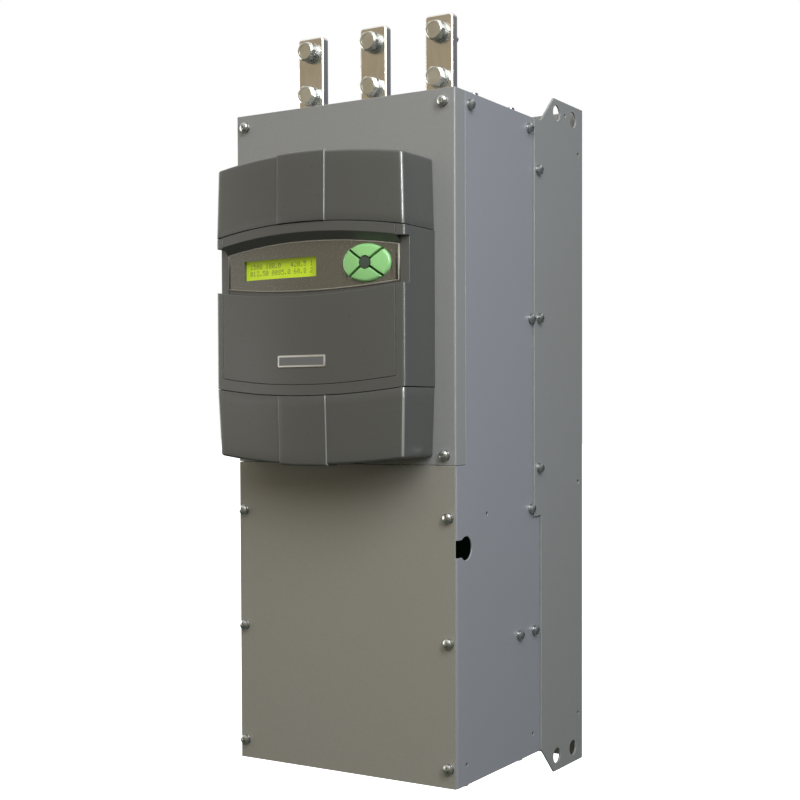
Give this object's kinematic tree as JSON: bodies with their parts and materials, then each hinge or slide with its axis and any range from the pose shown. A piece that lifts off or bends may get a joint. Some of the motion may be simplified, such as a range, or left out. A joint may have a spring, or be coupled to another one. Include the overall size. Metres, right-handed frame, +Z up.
{
  "type": "dc motor controller",
  "caption": "Wall-fixed dc motor controller: textured steel enclosure, copper busbars on top, curved plastic control head with display and keypad.",
  "frame": {"origin": "on the wall face of the rear chassis, on the enclosure's centre line, level with the underside of the enclosure", "axes": "+X to the right seen from the front, +Y into the wall, +Z up"},
  "size_m": [0.2674, 0.3354, 0.7603],
  "materials": {
    "enclosure_paint": "fine textured powder coat, satin",
    "zinc_steel": "bright zinc plate",
    "inner_steel": "zinc-coated sheet",
    "heatsink_aluminium": "extruded, natural",
    "module_black": "moulded",
    "tinned_bar": "tin plate, bright",
    "insulator_red": "moulded polyester",
    "transformer_resin": "cast resin",
    "board_green": "coated glass-fibre laminate",
    "standoff_brass": "nickel plated",
    "fan_black": "moulded",
    "head_plastic": "fine spark-eroded grain",
    "facia_film": "fine grained film",
    "bezel_black": "moulded",
    "lcd_yellow": "clear front, back-lit",
    "hub_dark": "moulded",
    "key_green": "satin moulded",
    "label_silver": "blank brushed plate",
    "terminal_green": "moulded",
    "terminal_black": "moulded"
  },
  "bodies": {
    "enclosure": {"rear_chassis": "enclosure_paint", "left_side_panel": "enclosure_paint", "right_side_panel": "enclosure_paint", "top_panel": "enclosure_paint", "bottom_panel": "enclosure_paint", "upper_front_cover": "enclosure_paint", "lower_front_cover": "enclosure_paint", "front_screws": "zinc_steel", "side_screws": "zinc_steel", "panel_screws": "zinc_steel", "screw_washers": "zinc_steel", "busbar_bolts": "zinc_steel", "busbar_washers": "zinc_steel", "spring_washers": "zinc_steel", "clinch_nuts": "zinc_steel", "module_screws": "zinc_steel", "module_fixings": "zinc_steel", "left_mounting_rail": "inner_steel", "right_mounting_rail": "inner_steel", "upper_crossbar": "inner_steel", "lower_crossbar": "inner_steel", "air_baffle": "inner_steel", "heatsink": "heatsink_aluminium", "thyristor_module_1": "module_black", "thyristor_module_2": "module_black", "thyristor_module_3": "module_black", "ac_busbar_1": "tinned_bar", "ac_busbar_2": "tinned_bar", "ac_busbar_3": "tinned_bar", "dc_busbar_positive": "tinned_bar", "dc_busbar_negative": "tinned_bar", "busbar_insulators": "insulator_red", "current_transformer_left": "transformer_resin", "current_transformer_right": "transformer_resin", "trigger_board": "board_green", "control_board": "board_green", "display_board": "board_green", "trigger_board_standoffs": "standoff_brass", "control_board_standoffs": "standoff_brass", "fan_frame_left": "fan_black", "fan_frame_right": "fan_black", "base_tray": "head_plastic", "control_housing": "head_plastic", "display_panel": "head_plastic", "display_facia": "facia_film", "lcd_bezel": "bezel_black", "lcd_glass": "lcd_yellow", "keypad_hub": "hub_dark", "label_plate": "label_silver", "control_terminals": "terminal_green", "supply_terminals": "terminal_black"},
    "upper_cap": {"upper_cap": "head_plastic"},
    "lower_cap": {"lower_cap": "head_plastic"},
    "key_up": {"key_up": "key_green"},
    "key_down": {"key_down": "key_green"},
    "key_left": {"key_left": "key_green"},
    "key_right": {"key_right": "key_green"},
    "fan_rotor_left": {"fan_rotor_left": "fan_black"},
    "fan_rotor_right": {"fan_rotor_right": "fan_black"}
  },
  "joints": [
    {"name": "upper_cap_pull", "type": "slide", "parent": "enclosure", "child": "upper_cap", "axis": [0, -1, 0], "range_m": [0, 0.07]},
    {"name": "lower_cap_pull", "type": "slide", "parent": "enclosure", "child": "lower_cap", "axis": [0, -1, 0], "range_m": [0, 0.07]},
    {"name": "key_up_press", "type": "slide", "parent": "enclosure", "child": "key_up", "axis": [-0.1021, 0.9948, 0], "range_m": [0, 0.0012], "stiffness_N_per_m": 800},
    {"name": "key_down_press", "type": "slide", "parent": "enclosure", "child": "key_down", "axis": [-0.1021, 0.9948, 0], "range_m": [0, 0.0012], "stiffness_N_per_m": 800},
    {"name": "key_left_press", "type": "slide", "parent": "enclosure", "child": "key_left", "axis": [-0.1021, 0.9948, 0], "range_m": [0, 0.0012], "stiffness_N_per_m": 800},
    {"name": "key_right_press", "type": "slide", "parent": "enclosure", "child": "key_right", "axis": [-0.1021, 0.9948, 0], "range_m": [0, 0.0012], "stiffness_N_per_m": 800},
    {"name": "fan_left_spin", "type": "hinge", "parent": "enclosure", "child": "fan_rotor_left", "pos_m": [-0.041, -0.049, 0.0145], "axis": [0, 0, 1], "continuous": true},
    {"name": "fan_right_spin", "type": "hinge", "parent": "enclosure", "child": "fan_rotor_right", "pos_m": [0.041, -0.049, 0.0145], "axis": [0, 0, 1], "continuous": true}
  ]
}
